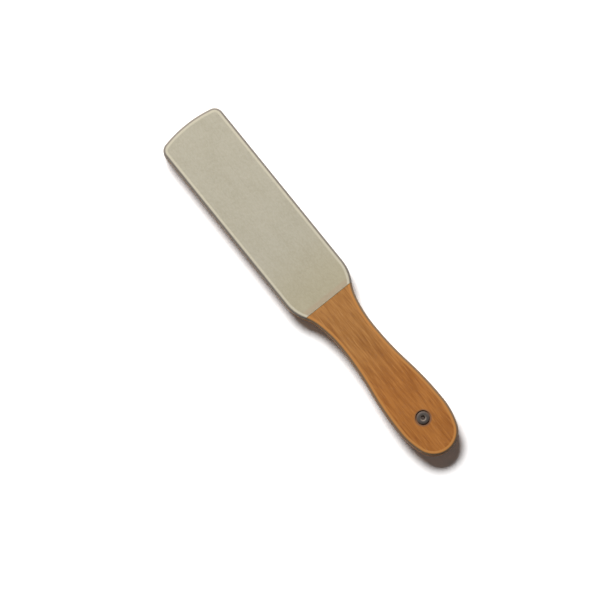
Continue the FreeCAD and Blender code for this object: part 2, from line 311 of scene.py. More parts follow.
# %% [markdown]
# ## The wooden paddle
#
# The board is one piece: blade core and handle. The real one is sawn to the outline, rounded over
# with a router and then relieved on both faces for the leather. The mesh follows the same order.
# First a whole blank is stacked up from the outline's insets, then Boolean modifiers take away
# what the cutters take away. The cutters carry a small chamfer each, so that every new corner on
# the wood comes out broken, as sandpaper leaves it. A dead sharp edge would catch no light.

# %% The blank: outlines stacked up over the rounded edges
EDGE_STEPS = 10
FLAT_RINGS = (0.35 * MM, 0.8 * MM, 1.4 * MM, 2.2 * MM)


def round_over(face_z, inwards):
    """(inset, z) up one rounded edge, from the side wall to the flat face."""
    turns = np.linspace(0, math.pi / 2, EDGE_STEPS + 1)
    return [(EDGE_RADIUS * (1 - math.cos(t)), face_z + inwards * EDGE_RADIUS * (1 - math.sin(t)))
            for t in turns]


def stack_profile():
    """(inset, z) from the middle of the rear face, out round the side, to the front face."""
    rear, front = round_over(0.0, 1), round_over(BOARD_THICK, -1)
    rear_flat = [(EDGE_RADIUS + out, 0.0) for out in reversed(FLAT_RINGS)]
    front_flat = [(EDGE_RADIUS + out, BOARD_THICK) for out in FLAT_RINGS]
    return rear_flat + rear[::-1] + front + front_flat


def closed_ring(inset, z):
    """The whole outline at one inset and height."""
    upper = half_outline(inset)
    lower = upper[-2:0:-1] * (1, -1)
    around = np.concatenate([upper, lower])
    return np.column_stack([around, np.full(len(around), z)])


wood = stack_piece("wood_paddle", [closed_ring(inset, z) for inset, z in stack_profile()])
report(wood)

# %% Cutters: a bevelled slab for each rebate, a turned plug for the hole
PAST = 4 * MM
BROKEN_ARRIS = 0.12 * MM
SEAM_GAP = 0.1 * MM
REBATE = LEATHER_THICK + GLUE_THICK
HOLE_SIDES = 96


def rebate_slab(name, face_z, inwards):
    """A slab over the blade, wider at the face by one broken arris along the shoulder."""
    shoulder, floor = SEAM_X + SEAM_GAP, face_z + inwards * REBATE
    over = face_z - inwards * PAST
    profile = [(TIP_X - PAST, floor), (shoulder, floor),
               (shoulder, face_z + inwards * BROKEN_ARRIS),
               (shoulder + BROKEN_ARRIS, face_z), (shoulder + BROKEN_ARRIS + PAST, over),
               (TIP_X - PAST, over)]
    half = HALF_BLADE + PAST
    points = [(x, side * half, z) for side in (-1, 1) for x, z in profile]
    count = len(profile)
    near, far = np.arange(count), np.arange(count) + count
    faces = ring_faces(near, far) + [near.tolist(), far.tolist()]
    return new_piece(name, points, faces)


def turn_about_hole(name, profile, sides=HOLE_SIDES, joined=False):
    """A solid of revolution on the eyelet's axis from (radius, z) points, bottom to top.

    joined closes the profile on itself, for a ring. Otherwise its two ends are capped.
    """
    turns = np.arange(sides) * 2 * math.pi / sides
    rings = [np.column_stack([HOLE_X + r * np.cos(turns), r * np.sin(turns), np.full(sides, z)])
             for r, z in profile]
    return stack_piece(name, rings, joined)


BORE = 2.05 * MM
FRONT_SEAT, FRONT_SEAT_DEPTH = 5.5 * MM, 0.8 * MM
REAR_SEAT, REAR_SEAT_DEPTH = 4.7 * MM, 1.6 * MM


def hole_plug():
    """The bore and its two seats in one tool, with a chamfer where it meets each face."""
    top = BOARD_THICK
    return turn_about_hole("hole_plug", [
        (REAR_SEAT + BROKEN_ARRIS + PAST, -PAST),
        (REAR_SEAT + BROKEN_ARRIS, 0.0), (REAR_SEAT, BROKEN_ARRIS), (REAR_SEAT, REAR_SEAT_DEPTH),
        (BORE, REAR_SEAT_DEPTH), (BORE, top - FRONT_SEAT_DEPTH),
        (FRONT_SEAT, top - FRONT_SEAT_DEPTH), (FRONT_SEAT, top - BROKEN_ARRIS),
        (FRONT_SEAT + BROKEN_ARRIS, top), (FRONT_SEAT + BROKEN_ARRIS + PAST, top + PAST)])


# %% Cut the blank, and keep the plain mesh that comes out
def cut(piece, cutters):
    """Takes each cutter out of the piece, then removes the cutters."""
    for cutter in cutters:
        step = piece.modifiers.new(cutter.name, "BOOLEAN")
        step.operation, step.solver, step.object = "DIFFERENCE", "EXACT", cutter
    shaped = piece.evaluated_get(bpy.context.evaluated_depsgraph_get())
    old, piece.data = piece.data, bpy.data.meshes.new_from_object(shaped)
    piece.modifiers.clear()
    piece.data.name = piece.name
    bpy.data.meshes.remove(old)
    for cutter in cutters:
        bpy.data.objects.remove(cutter)
    finish_mesh(piece.data)


cut(wood, [rebate_slab("front_rebate", BOARD_THICK, -1), rebate_slab("rear_rebate", 0.0, 1),
           hole_plug()])
report(wood)

# %% [markdown]
# A finish often wants to know how far a point lies from the edge: varnish is thin there and
# hands rub it pale, and the highlight and shade that the rounded edge takes are painted by that
# distance too. That distance isn't a texture, it is a fact about the shape, so it is worked out
# once and stored on the points as an attribute that the material can read.


# %% Store the distance to the edge on a mesh
def store_number(mesh, name, numbers):
    """A number on every point of a mesh, for a material to read by name."""
    attribute = mesh.attributes.new(name, "FLOAT", "POINT")
    attribute.data.foreach_set("value", np.asarray(numbers, np.float32))


def mesh_points(mesh):
    points = np.empty(len(mesh.vertices) * 3, np.float32)
    mesh.vertices.foreach_get("co", points)
    return points.reshape(-1, 3).astype(float)


wood_points = mesh_points(wood.data)
edge_distance = distance_to_outline(wood_points[:, :2]) / MM
store_number(wood.data, "edge_distance", edge_distance)
print(f"wood: edge distance from {edge_distance.min():.3f} to {edge_distance.max():.1f} mm")

# %% [markdown]
# ## The leather faces
#
# Each face is a strip of leather cut to the blade's outline and glued down, and its top corner is
# rounded over in one pass with the wood. The easy way would be the same Boolean cut from a
# blank, but then the top would be a single flat face that can't be uneven. So the strip is woven
# instead: four border lines, one for each side, and a net of points stretched between them. That
# net is called a Coons patch. It gives neat square faces which can swell by a few hundredths of
# a millimetre, the way a real hide does.

# %% The four borders of a strip, at any inset
SEAM_BEVEL = 0.15 * MM
LONG_STEPS, CROSS_STEPS = 250, 84
CORNER_SHARE = 0.5


def evenly(points, count):
    """count + 1 points spread evenly along a line of points."""
    length = np.concatenate([[0], np.cumsum(np.linalg.norm(np.diff(points, axis=0), axis=1))])
    places = np.linspace(0, length[-1], count + 1)
    return np.column_stack([np.interp(places, length, points[:, i]) for i in (0, 1)])


def strip_borders(inset, from_seam):
    """Tip, upper side, seam and lower side as lines of points, tip first and seam last."""
    line = half_outline(inset)
    middle = arc_steps(ARCS[TIP_ARC]) + round(arc_steps(ARCS[CORNER_ARC]) * CORNER_SHARE)
    last_x = SEAM_X - from_seam
    beyond = int(np.argmax(line[:, 0] > last_x))
    before, after = line[beyond - 1], line[beyond]
    end = before + (after - before) * (last_x - before[0]) / (after[0] - before[0])
    tip_upper = line[:middle + 1]
    tip = evenly(np.concatenate([tip_upper[::-1] * (1, -1), tip_upper[1:]]), CROSS_STEPS)
    upper = evenly(np.concatenate([line[middle:beyond], [end]]), LONG_STEPS)
    lower = upper * (1, -1)
    seam = np.linspace(lower[-1], upper[-1], CROSS_STEPS + 1)
    return tip, upper, seam, lower


def border_ring(tip, upper, seam, lower):
    """The four borders joined into one closed ring of points."""
    return np.concatenate([tip[:-1], upper[:-1], seam[:0:-1], lower[:0:-1]])


def net_between(tip, upper, seam, lower):
    """A Coons patch: points[along, across] stretched between the four borders."""
    u = np.linspace(0, 1, LONG_STEPS + 1)[:, None, None]
    v = np.linspace(0, 1, CROSS_STEPS + 1)[None, :, None]
    sides = (1 - v) * lower[:, None] + v * upper[:, None]
    ends = (1 - u) * tip[None] + u * seam[None]
    corners = ((1 - u) * ((1 - v) * tip[0] + v * tip[-1])
               + u * ((1 - v) * seam[0] + v * seam[-1]))
    return sides + ends - corners


# %% Weave a strip
BROAD_WAVES, BROAD_SHARE = (6 * MM, 40 * MM), 0.6
FINE_WAVES, FINE_SHARE = (1.6 * MM, 5 * MM), 0.4
SUNK = 0.5


def strip_levels():
    """(inset, depth below the outer face, distance from the seam) from the glue to the top."""
    levels = [(0.0, LEATHER_THICK)] + round_over(0.0, 1)
    return [(inset, depth, max(0.0, SEAM_BEVEL - depth)) for inset, depth in levels]


def make_strip(name, outer_z, inwards, unevenness, seed):
    """One leather face. outer_z is its working face, inwards points to the wood."""
    levels = strip_levels()
    rings = []
    for inset, depth, from_seam in levels:
        ring = border_ring(*strip_borders(inset, from_seam))
        rings.append(np.column_stack([ring, np.full(len(ring), outer_z + inwards * depth)]))

    top_inset, _, top_from_seam = levels[-1]
    net = net_between(*strip_borders(top_inset, top_from_seam))
    inner = net[1:-1, 1:-1].reshape(-1, 2)
    inner_3d = np.column_stack([inner, np.full(len(inner), outer_z)])
    points = np.concatenate([*rings, inner_3d])

    ring_at = number_rings(rings)
    faces = [ring_at[0].tolist()] + wall_faces(ring_at)

    # number the net: its rim is the last ring, its inside are the points after the rings
    net_at = np.empty((LONG_STEPS + 1, CROSS_STEPS + 1), int)
    top, start = ring_at[-1], 0
    for cells, length in (((0, slice(0, -1)), CROSS_STEPS), ((slice(0, -1), -1), LONG_STEPS),
                          ((-1, slice(None, 0, -1)), CROSS_STEPS),
                          ((slice(None, 0, -1), 0), LONG_STEPS)):
        net_at[cells] = top[start:start + length]
        start += length
    inner_at = np.arange(len(inner)) + len(rings) * len(top)
    net_at[1:-1, 1:-1] = inner_at.reshape(LONG_STEPS - 1, CROSS_STEPS - 1)
    quads = np.stack([net_at[:-1, :-1], net_at[1:, :-1], net_at[1:, 1:], net_at[:-1, 1:]], -1)
    faces += quads.reshape(-1, 4).tolist()

    # the swell fades out towards the glue, so that the strip still lies flat on the wood
    depth_here = np.abs(points[:, 2] - outer_z)
    fade = np.clip(1 - depth_here / EDGE_RADIUS, 0, 1)
    broad = swell(points[:, 0], points[:, 1], *BROAD_WAVES, seed)
    fine = swell(points[:, 0], points[:, 1], *FINE_WAVES, seed + 1)
    height = BROAD_SHARE * broad + FINE_SHARE * fine - SUNK
    points[:, 2] -= inwards * unevenness * fade * height

    piece = new_piece(name, points, faces)
    store_number(piece.data, "edge_distance", distance_to_outline(points[:, :2]) / MM)
    store_number(piece.data, "seam_distance", (SEAM_X - points[:, 0]) / MM)
    return piece


suede = make_strip("suede_face", BOARD_THICK, -1, 0.03 * MM, seed=11)
smooth = make_strip("smooth_face", 0.0, 1, -0.02 * MM, seed=23)
report(suede)
report(smooth)

# %% [markdown]
# ## The glue line
#
# Contact adhesive goes on thin, but it is there, and from the side it shows as an amber thread
# between leather and wood. Sanding leaves it a touch proud in one place and a touch shy in
# another. The thread is a flat cushion with the outline's shape and a rim that wanders a little.

# %% Two thin layers of glue
GLUE_WANDER = 0.05 * MM
GLUE_BULGE = 0.03 * MM
GLUE_WAVES = (3 * MM, 18 * MM)
GLUE_LEVELS = (0.0, 0.25, 0.5, 0.75, 1.0)


def make_glue(name, low_z, seed):
    """A thin layer under one leather face, with an uneven rim."""
    border = border_ring(*strip_borders(0.0, 0.0))
    from_middle = border - np.array([(TIP_X + SEAM_X) / 2, 0.0])
    outwards = from_middle / np.linalg.norm(from_middle, axis=1)[:, None]
    rings = []
    for level, share in enumerate(GLUE_LEVELS):
        wander = GLUE_WANDER * swell(border[:, 0], border[:, 1], *GLUE_WAVES, seed + level // 2)
        bulge = GLUE_BULGE * math.sin(math.pi * share) + np.minimum(wander, 0)
        ring = border + outwards * bulge[:, None]
        rings.append(np.column_stack([ring, np.full(len(ring), low_z + share * GLUE_THICK)]))
    return stack_piece(name, rings)


front_glue = make_glue("front_glue_line", BOARD_THICK - REBATE, seed=31)
rear_glue = make_glue("rear_glue_line", LEATHER_THICK, seed=37)
report(front_glue)
report(rear_glue)

# %% [markdown]
# ## The eyelet and its washer
#
# The hanging hole is lined with a pressed eyelet: a thin tube with a domed flange in front. On
# the rear its end is rolled over a flat washer, and the metal splits into a few petals as it rolls.
# Anything round like this starts as a section, a line of points in radius and height. The dome is
# two quarter ellipses that meet at the crown, and it has a second, inner line, because the real
# flange is a bent sheet with air under it.

# %% Arcs of a section
def arc(centre, radii, first, last, steps=10):
    """Points (radius, z) of an elliptic arc, with its angles in degrees."""
    turns = np.radians(np.linspace(first, last, steps + 1))
    return [(centre[0] + radii[0] * math.cos(t), centre[1] + radii[1] * math.sin(t))
            for t in turns]


# %% Sections of the eyelet and the washer
BORE_RADIUS = 1.5 * MM
TUBE_RADIUS = 1.95 * MM
CROWN_RADIUS = 2.9 * MM
FLANGE_RADIUS = (eyelet_high.x - eyelet_low.x) / 2
CROWN_Z = eyelet_high.z
SEAT_Z = BOARD_THICK - FRONT_SEAT_DEPTH
LIP = 0.15 * MM
SHEET = 0.3 * MM
WASHER_RADIUS = (washer_high.x - washer_low.x) / 2
WASHER_CORNER = 0.14 * MM
ROLL_Z = washer_low.z
ROLL_RADIUS = ROLL_Z - eyelet_low.z
PETALS = 6
METAL_SIDES = 180


def eyelet_section():
    """Up the bore, over the dome, back under it, down the tube and round the rolled end."""
    crown, rise = (CROWN_RADIUS, SEAT_Z + LIP), CROWN_Z - SEAT_Z - LIP
    under, under_rise = (CROWN_RADIUS, SEAT_Z), CROWN_Z - SEAT_Z - SHEET
    points = arc(crown, (CROWN_RADIUS - BORE_RADIUS, rise), 180, 90)
    points += arc(crown, (FLANGE_RADIUS - CROWN_RADIUS, rise), 90, 0, 14)[1:]
    points += [(FLANGE_RADIUS - LIP / 2, SEAT_Z)]
    points += arc(under, (FLANGE_RADIUS - CROWN_RADIUS - SHEET, under_rise), 0, 90)
    points += arc(under, (CROWN_RADIUS - TUBE_RADIUS, under_rise), 90, 180)[1:]
    points += [(TUBE_RADIUS, ROLL_Z)]
    points += arc((BORE_RADIUS + ROLL_RADIUS, ROLL_Z), (ROLL_RADIUS, ROLL_RADIUS), 0, -180, 16)
    return points


def washer_section():
    """A flat ring with its corners tumbled round."""
    inner, outer, low, high = BORE, WASHER_RADIUS, washer_low.z, washer_high.z
    soft = WASHER_CORNER
    corners = [((outer - soft, low + soft), -90), ((outer - soft, high - soft), 0),
               ((inner + soft, high - soft), 90), ((inner + soft, low + soft), 180)]
    return [point for centre, start in corners
            for point in arc(centre, (soft, soft), start, start + 90, 3)]


# %% Turn them, and split the rolled end into petals
NOTCH_WIDTH = 0.16 * MM
NOTCH_DEPTH, NOTCH_RISE = 0.28, 0.55
HAIR = 1e-7


def split_into_petals(piece):
    """Notches the rolled end between the petals, deeper the further it has rolled out."""
    for point in piece.data.vertices:
        x, y, z = point.co.x - HOLE_X, point.co.y, point.co.z
        radius = math.hypot(x, y)
        if z > ROLL_Z + HAIR or radius < TUBE_RADIUS:
            continue
        place = math.atan2(y, x) * PETALS / (2 * math.pi)
        from_split = abs(place - round(place)) * 2 * math.pi / PETALS * radius
        notch = math.exp(-(from_split / NOTCH_WIDTH) ** 2)
        rolled_out = (radius - TUBE_RADIUS) / (BORE_RADIUS + 2 * ROLL_RADIUS - TUBE_RADIUS)
        shrink = 1 - NOTCH_DEPTH * notch * rolled_out
        point.co.x, point.co.y = HOLE_X + x * shrink, y * shrink
        point.co.z = z + (ROLL_Z - z) * NOTCH_RISE * notch * rolled_out


eyelet = turn_about_hole("eyelet", eyelet_section(), METAL_SIDES, joined=True)
split_into_petals(eyelet)
washer = turn_about_hole("washer", washer_section(), METAL_SIDES, joined=True)
report(eyelet)
report(washer)

# %% [markdown]
# ## Mixing a finish
#
# Each finish is a node tree, and each tree is the same few moves: take the place of a point, make
# blobs of a chosen size there, and use them to mix two colours or to raise a bump. The little
# class below gives those moves short names. Sizes are given in millimetres along each axis, so a
# wood pore is "2.6 long, 0.13 wide" and not a bare scale number. Colours are given the way a
# screen shows them, 0 to 255. They are turned into the linear light that the renderer counts in,
# and divided by the light that falls on a flat face here, which is more than 1 so that the paper
# comes out pure white.


# %% A screen colour as paint
LIGHT_ON_FLAT = 1.45


def paint(red, green, blue):
    """The paint that looks like this 0 to 255 screen colour on a flat, lit face."""
    linear = [((c / 255 + 0.055) / 1.055) ** 2.4 for c in (red, green, blue)]
    return [c / LIGHT_ON_FLAT for c in linear] + [1.0]


# %% A node in any tree
def add_node(tree, kind, inputs=None, **settings):
    """A new node. An input is a number, a colour or another node's output."""
    node = tree.nodes.new(kind)
    for name, value in settings.items():
        setattr(node, name, value)
    for name, value in (inputs or {}).items():
        if isinstance(value, bpy.types.NodeSocket):
            tree.links.new(value, node.inputs[name])
        else:
            node.inputs[name].default_value = value
    return node


# %% The two lines round the edge, in millimetres from the outline
# The dark outer line is painted shade of the steep round-over. The pale band is partly a painted
# highlight.
EDGE_SHADE = (1.8, 1.3)
WALL = (0.02, 0.3)
BAND_IN = (1.4, 2.0)
BAND_OUT = (3.7, 2.9)


# %% The moves that every finish uses
class Finish:
    """A material, its shader, and the few nodes that finishes are mixed from."""

    def __init__(self, name):
        self.material = bpy.data.materials.new(name)
        self.material.use_nodes = True
        self.tree = self.material.node_tree
        self.tree.nodes.clear()
        self.shader = self.add("BsdfPrincipled")
        self.add("OutputMaterial", {"Surface": self.shader.outputs[0]})
        self.place = self.add("TexCoord").outputs["Object"]

    def add(self, kind, inputs=None, **settings):
        """A shader node in this finish's own tree."""
        return add_node(self.tree, "ShaderNode" + kind, inputs, **settings)

    def set(self, **values):
        """Plain numbers straight on the shader, one for the whole surface."""
        for name, value in values.items():
            self.shader.inputs[name.replace("_", " ")].default_value = value

    def link(self, name, output):
        """Another node's output as one of the shader's inputs."""
        self.tree.links.new(output, self.shader.inputs[name])

    def scaled(self, sizes, shift=0.0):
        """The place, counted in blobs of the given millimetre sizes."""
        counts = [1 / (size * MM) for size in sizes]
        return self.add("Mapping", {"Vector": self.place, "Scale": counts,
                                    "Location": (shift, shift, shift)}).outputs[0]

    def blobs(self, sizes, detail=2.0, warp=0.0, shift=0.0):
        """Soft noise from 0 to 1, with blobs of the given sizes."""
        return self.add("TexNoise", {"Vector": self.scaled(sizes, shift), "Scale": 1.0,
                                     "Detail": detail, "Distortion": warp}).outputs["Fac"]

    def cells(self, sizes, shift=0.0):
        """0 in the middle of each cell, and more towards its edge."""
        return self.add("TexVoronoi", {"Vector": self.scaled(sizes, shift),
                                       "Scale": 1.0}).outputs["Distance"]

    def rise(self, value, low, high):
        """0 up to low, 1 from high, and a soft slope between. low may be the larger."""
        return self.add("MapRange", {"Value": value, "From Min": low, "From Max": high},
                        interpolation_type="SMOOTHSTEP").outputs[0]

    def sum(self, first, second, operation="ADD"):
        return self.add("Math", {0: first, 1: second}, operation=operation).outputs[0]

    def times(self, first, second):
        return self.sum(first, second, "MULTIPLY")

    def mix(self, share, first, second, blend="MIX"):
        """Two colours, the second by its share."""
        node = self.add("Mix", {0: share, 6: first, 7: second}, data_type="RGBA", blend_type=blend)
        return node.outputs[2]

    def tint(self, colour, where, share, shade):
        """The colour, with a share of another shade where a 0 to 1 value says so."""
        return self.mix(self.times(where, share), colour, shade)

    def fact(self, name):
        """A number stored on the mesh."""
        return self.add("Attribute", attribute_name=name).outputs["Fac"]

    def bump(self, heights):
        """Bumps laid over each other, from (height from 0 to 1, real height in mm) pairs."""
        normal = None
        for height, tall in heights:
            inputs = {"Height": height, "Distance": tall * MM, "Strength": 1.0}
            if normal is not None:
                inputs["Normal"] = normal
            normal = self.add("Bump", inputs).outputs[0]
        self.link("Normal", normal)

    def rim(self, colour, pale_band_and_highlight, painted_edge_shade):
        """A dark edge line of painted shade, and a paler band inside it, partly painted highlight.
        """
        distance = self.fact("edge_distance")
        band = self.times(self.rise(distance, *BAND_IN), self.rise(distance, *BAND_OUT))
        colour = self.mix(band, colour, pale_band_and_highlight)
        edge = self.times(self.rise(distance, *EDGE_SHADE), self.rise(distance, *WALL))
        return self.mix(edge, colour, painted_edge_shade)

    def from_hole(self):
        """The distance from the eyelet's axis."""
        centred = self.add("Mapping", {"Vector": self.place, "Location": (-HOLE_X, 0, 0)})
        flat = self.add("VectorMath", {0: centred.outputs[0], 1: (1, 1, 0)}, operation="MULTIPLY")
        return self.add("VectorMath", {0: flat.outputs[0]}, operation="LENGTH").outputs["Value"]

    def towards_handle(self, start, end):
        """0 before start, 1 after end, along the paddle."""
        along = self.add("SeparateXYZ", {"Vector": self.place}).outputs["X"]
        return self.rise(along, start, end)


# %% [markdown]
# ## Wood
#
# The board is a warm orange-brown hardwood under a thin oil varnish. Grain is mostly a matter of
# stretch: the same noise, drawn eight to thirty times longer than it is wide, reads as wood. Four
# scales lie over each other here. Broad bands show the growth, streaks and finer threads show the
# fibres, and short dark dashes are the pores. The rounded edge shows two lines. The inner one is
# paler and more orange: some wear, and a painted highlight where the round-over catches the light.
# The outer one is dark, a painted shade where the round-over turns away. Both come from the stored
# distance to the edge, and the upright wall below them is plain wood.


# %% Oiled wood
def oiled_wood():
    finish = Finish("oiled_wood")
    broad = finish.blobs((34, 4, 6), detail=3, warp=0.8)
    streaks = finish.blobs((12, 1.0, 1.8), detail=4, warp=0.5)
    threads = finish.blobs((7, 0.22, 0.4), detail=2)
    pores = finish.rise(finish.blobs((2.6, 0.13, 0.3), detail=1, shift=7.3), 0.66, 0.74)

    colour = finish.mix(finish.rise(broad, 0.36, 0.66), paint(164, 107, 46), paint(184, 126, 63))
    colour = finish.tint(colour, finish.rise(streaks, 0.5, 0.72), 0.65, paint(199, 141, 76))
    colour = finish.tint(colour, finish.rise(streaks, 0.47, 0.28), 0.7, paint(144, 88, 34))
    colour = finish.tint(colour, finish.rise(threads, 0.42, 0.75), 0.2, paint(184, 127, 66))
    colour = finish.tint(colour, pores, 0.45, paint(104, 58, 22))
    redder = finish.towards_handle(42 * MM, 100 * MM)
    colour = finish.mix(redder, colour, (1.0, 0.85, 0.61, 1.0), "MULTIPLY")
    # A paler orange band, partly wear and partly painted highlight, and a line of painted shade at
    # the edge.
    colour = finish.rim(colour, paint(198, 134, 66), paint(140, 114, 86))
    # A darker ring just outside the eyelet's seat: painted shade round the recess.
    seat_shade = finish.rise(finish.from_hole(), FRONT_SEAT + 1.4 * MM, FRONT_SEAT)
    colour = finish.tint(colour, seat_shade, 0.85, paint(122, 88, 66))

    finish.link("Base Color", colour)
    finish.link("Roughness", finish.sum(0.42, finish.times(streaks, 0.16)))
    finish.set(Coat_Weight=0.04, Coat_Roughness=0.3, Specular_IOR_Level=0.3)
    finish.bump([(broad, 0.02), (streaks, 0.03), (finish.rise(pores, 1, 0), 0.02)])
    return finish.material


# %% [markdown]
# ## Leather
#
# The front face is suede, flesh side out, which holds the compound best. Up close it is a felt
# of short fibres that scatter light every way, so it gets a high roughness, a little sheen and a
# fine ragged bump. Strokes of the blade, always along the paddle, leave long faint tracks. The
# rear face is the smooth grain side of the hide, with pores and fine creases, for the last
# passes.


# %% Suede for the front
def suede_leather():
    finish = Finish("suede")
    clouds = finish.blobs((26, 14, 14), detail=3)
    mottle = finish.blobs((1.9, 1.3, 1.3), detail=3, warp=0.4)
    felt = finish.blobs((0.34, 0.2, 0.2), detail=3, warp=0.6)
    tracks = finish.blobs((60, 0.7, 2), detail=3, shift=3.1)

    colour = finish.mix(finish.rise(clouds, 0.3, 0.7), paint(185, 178, 157), paint(190, 183, 163))
    colour = finish.tint(colour, finish.rise(mottle, 0.35, 0.65), 0.45, paint(199, 193, 175))
    colour = finish.tint(colour, finish.rise(tracks, 0.52, 0.3), 0.25, paint(178, 169, 148))
    colour = finish.tint(colour, finish.rise(felt, 0.5, 0.3), 0.35, paint(168, 159, 138))
    browner = finish.towards_handle(-45 * MM, SEAM_X)
    colour = finish.mix(browner, colour, (0.95, 0.92, 0.82, 1.0), "MULTIPLY")
    seam = finish.fact("seam_distance")
    seam_band = finish.times(finish.rise(seam, 0.2, 0.8), finish.rise(seam, 5.0, 3.4))
    colour = finish.tint(colour, seam_band, 0.45, paint(186, 162, 136))
    # A cream band where the cut edge is paler, with painted highlight, and a line of painted shade
    # at the edge.
    colour = finish.rim(colour, paint(212, 204, 181), paint(140, 131, 121))

    finish.link("Base Color", colour)
    finish.set(Roughness=0.92, Sheen_Weight=0.12, Sheen_Roughness=0.5, IOR=1.4)
    finish.bump([(tracks, 0.02), (mottle, 0.06), (felt, 0.07)])
    return finish.material


# %% Smooth leather for the rear
def smooth_leather():
    finish = Finish("grain_leather")
    clouds = finish.blobs((30, 18, 18), detail=3, shift=5.7)
    grain = finish.cells((0.75, 0.6, 0.6))
    creases = finish.rise(finish.blobs((7, 1.1, 2), detail=4, warp=1.2), 0.5, 0.56)
    pits = finish.rise(finish.cells((0.5, 0.5, 0.5), shift=2.2), 0.12, 0.05)

    colour = finish.mix(finish.rise(clouds, 0.3, 0.7), paint(171, 128, 88), paint(192, 150, 108))
    colour = finish.tint(colour, finish.rise(grain, 0.35, 0.75), 0.35, paint(148, 104, 66))
    colour = finish.tint(colour, pits, 0.4, paint(120, 80, 48))
    # A paler band with painted highlight, and a dark line of painted shade at the edge.
    colour = finish.rim(colour, paint(206, 170, 130), paint(96, 72, 52))

    finish.link("Base Color", colour)
    finish.link("Roughness", finish.sum(0.5, finish.times(clouds, 0.15)))
    finish.set(Coat_Weight=0.05, Coat_Roughness=0.4, IOR=1.45)
    finish.bump([(creases, 0.01), (finish.rise(grain, 0.75, 0.2), 0.04),
                 (finish.rise(pits, 1, 0), 0.02)])
    return finish.material


# %% [markdown]
# ## Glue and metal
#
# Dried contact adhesive is a dark honey with a dull shine. The eyelet is nickel-plated steel that
# has gone grey. Metal takes its look from what it mirrors, so it needs little colour: the crown is
# painted the darkest grey, the flank a lighter one, and the bore lighter still, a painted light that
# lifts the shade down the hole. Scratches finer than the eye can see are what the high roughness
# stands for.


# %% Adhesive and dull nickel
def dried_adhesive():
    finish = Finish("dried_adhesive")
    lumps = finish.blobs((3, 3, 1), detail=3)
    finish.link("Base Color", finish.mix(lumps, paint(108, 68, 30), paint(160, 110, 58)))
    finish.set(Roughness=0.38, IOR=1.5)
    finish.bump([(lumps, 0.04)])
    return finish.material


def dull_nickel():
    finish = Finish("dull_nickel")
    radius = finish.from_hole()
    spots = finish.blobs((0.9, 0.9, 0.9), detail=4)
    scuffs = finish.blobs((2.5, 0.12, 0.12), detail=2, warp=1.5)

    # The bore is painted lighter: painted light that lifts the shade down the hole.
    bore_light = finish.rise(radius, CROWN_RADIUS, BORE_RADIUS)
    down_the_flank = finish.rise(radius, CROWN_RADIUS, FLANGE_RADIUS)
    colour = finish.mix(bore_light, paint(118, 111, 107), paint(188, 173, 161))
    colour = finish.mix(down_the_flank, colour, paint(142, 128, 119))
    colour = finish.tint(colour, finish.rise(spots, 0.5, 0.7), 0.4, paint(104, 95, 88))
    finish.link("Base Color", colour)
    finish.link("Roughness", finish.sum(0.74, finish.times(scuffs, 0.2)))
    finish.set(Metallic=1.0)
    finish.bump([(spots, 0.012), (scuffs, 0.006)])
    return finish.material


def give(material, *pieces):
    """The same finish for each piece."""
    for piece in pieces:
        piece.data.materials.clear()
        piece.data.materials.append(material)


suede_finish = suede_leather()
give(oiled_wood(), wood)
give(suede_finish, suede)
give(smooth_leather(), smooth)
give(dried_adhesive(), front_glue, rear_glue)
give(dull_nickel(), eyelet, washer)
print("finishes:", ", ".join(material.name for material in bpy.data.materials))

# %% [markdown]
# ## The nap
#
# Bump alone can't break the outline of suede: seen from low down, its fibres stand against the
# light. Growing thousands of them is what Geometry Nodes are for. The tree scatters points over
# the strip, bends one tiny fibre over a curve, and puts a copy at each point, turned and scaled by
# chance. Strokes along the paddle have laid the nap down, so the fibres lean one way, give or
# take. Each is a closed three-sided sliver of 20 triangles, because what is copied thousands of
# times has to be cheap.


# %% The tree that grows the nap
FACES_OUT = 0.25
TIP_LIFT, TIP_THICKNESS = 0.3, 0.25
ROOT_DEPTH = 0.02 * MM
TILT_SPREAD, TURN_SPREAD = 0.12, 1.1
SIZE_RANGE = (0.5, 1.35)


